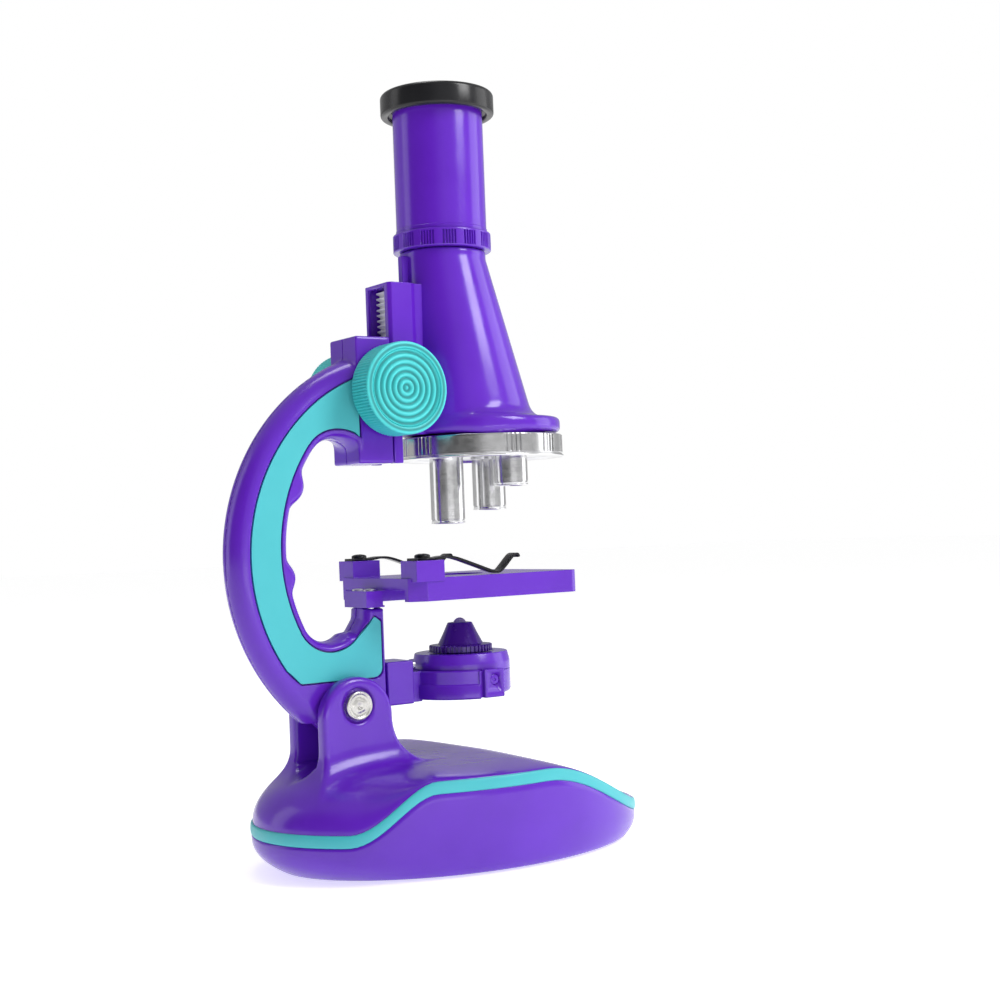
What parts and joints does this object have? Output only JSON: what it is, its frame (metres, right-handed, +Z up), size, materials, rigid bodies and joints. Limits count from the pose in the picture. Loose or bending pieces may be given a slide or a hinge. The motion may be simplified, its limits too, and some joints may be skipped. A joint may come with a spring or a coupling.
{
  "type": "kids microscope",
  "caption": "Toy compound microscope: oval base, tilting C-shaped arm, stage with clips, flip lamp and mirror, rack focus, rotating objective turret and eyepiece.",
  "frame": {"origin": "on the table, under the centre of the model's box", "axes": "+X from the arm towards the free end of the stage, -Y the user's right-hand side, +Z up, mid-plane Y = 0"},
  "size_m": [0.1273, 0.0846, 0.2199],
  "materials": {
    "purple_gloss_shell": "glossy moulded ABS, violet",
    "purple_matte_cover": "fine spark-textured ABS",
    "teal_inlay": "smooth satin ABS, light teal",
    "teal_knob": "semi-gloss ABS with turned rings",
    "black_gloss_cup": "high-gloss black plastic",
    "black_ring": "matt black plastic",
    "black_spring_clip": "black-oxide spring steel",
    "rubber_foot": "soft matt rubber",
    "nylon_washer": "moulded nylon",
    "chrome_turret": "bright vacuum-plated chrome",
    "steel_bolt": "polished domed steel",
    "steel_screw": "zinc-plated steel",
    "acetal_gear": "silver-grey acetal",
    "optical_glass": "polished lens",
    "mirror_glass": "silvered mirror",
    "green_board": "solder-masked board",
    "cell_steel": "nickel-plated steel can",
    "brass_contact": "springy brass"
  },
  "bodies": {
    "base": {"base_shell_upper": "purple_gloss_shell", "base_trim_band": "teal_inlay", "base_shell_lower": "purple_gloss_shell", "base_bottom_cover": "purple_matte_cover", "rubber_feet": "rubber_foot", "base_screws": "steel_screw", "pivot_bolt": "steel_bolt", "pivot_nut": "steel_bolt", "pivot_washers": "nylon_washer"},
    "arm": {"arm_half_right": "purple_gloss_shell", "arm_half_left": "purple_gloss_shell", "arm_inlay_right": "teal_inlay", "arm_inlay_left": "teal_inlay", "arm_screws": "steel_screw", "stage_plate": "purple_gloss_shell", "stage_screws": "steel_screw", "clip_screws": "black_spring_clip", "lamp_fork": "purple_gloss_shell", "fork_screw": "steel_screw"},
    "clip_right": {"clip_right": "black_spring_clip"},
    "clip_left": {"clip_left": "black_spring_clip"},
    "focus": {"focus_shaft": "steel_screw", "focus_pinion": "acetal_gear", "focus_knob_right": "teal_knob", "focus_knob_left": "teal_knob"},
    "tube": {"body_tube": "purple_gloss_shell", "focus_rack": "acetal_gear", "turret_screw": "steel_screw", "turret_washer": "steel_screw", "detent_ball": "steel_screw", "detent_spring": "steel_screw"},
    "turret": {"turret_disc": "chrome_turret", "objective_long": "chrome_turret", "objective_medium": "chrome_turret", "objective_short": "chrome_turret", "objective_lens_long": "optical_glass", "objective_lens_medium": "optical_glass", "objective_lens_short": "optical_glass"},
    "eyepiece": {"eyepiece_tube": "purple_gloss_shell", "knurled_ring": "purple_gloss_shell", "eyecup": "black_gloss_cup", "eye_lens": "optical_glass", "lens_retainer": "black_ring", "field_lens": "optical_glass"},
    "lamp": {"lamp_housing_upper": "purple_gloss_shell", "lamp_housing_lower": "purple_gloss_shell", "mirror": "mirror_glass", "led_board": "green_board", "led_bulb": "optical_glass", "button_cells": "cell_steel", "cell_contact": "brass_contact", "contact_springs": "brass_contact", "lamp_screws": "steel_screw"},
    "lamp_switch": {"lamp_cone": "purple_gloss_shell", "condenser_lens": "optical_glass"}
  },
  "joints": [
    {"name": "arm_tilt", "type": "hinge", "parent": "base", "child": "arm", "pos_m": [-0.0312, 0, 0.0456], "axis": [0, -1, 0], "range_deg": [0, 45]},
    {"name": "tube_focus", "type": "slide", "parent": "arm", "child": "tube", "axis": [0, 0, 1], "range_m": [-0.0085, 0.009]},
    {"name": "focus_spin", "type": "hinge", "parent": "arm", "child": "focus", "pos_m": [-0.016, 0, 0.1319], "axis": [0, -1, 0], "range_deg": [-110, 116]},
    {"name": "turret_turn", "type": "hinge", "parent": "tube", "child": "turret", "pos_m": [0.0192, 0, 0.116], "axis": [0, 0, 1], "continuous": true},
    {"name": "eyepiece_turn", "type": "hinge", "parent": "tube", "child": "eyepiece", "pos_m": [0.0082, 0, 0.17], "axis": [0, 0, 1], "range_deg": [0, 40]},
    {"name": "clip_right_swivel", "type": "hinge", "parent": "arm", "child": "clip_right", "pos_m": [-0.0134, -0.0178, 0.0843], "axis": [0, 0, 1], "range_deg": [-20, 20]},
    {"name": "clip_left_swivel", "type": "hinge", "parent": "arm", "child": "clip_left", "pos_m": [-0.0134, 0.0178, 0.0843], "axis": [0, 0, 1], "range_deg": [-20, 20]},
    {"name": "lamp_flip", "type": "hinge", "parent": "arm", "child": "lamp", "pos_m": [0.0094, 0, 0.0496], "axis": [0, 1, 0], "range_deg": [0, 180]},
    {"name": "lamp_switch_turn", "type": "hinge", "parent": "lamp", "child": "lamp_switch", "pos_m": [0.0094, 0, 0.0596], "axis": [0, 0, 1], "range_deg": [0, 45]}
  ],
  "couplings": [
    {"joint": "focus_spin", "follows": "tube_focus", "rad_per_m": 222.22}
  ]
}
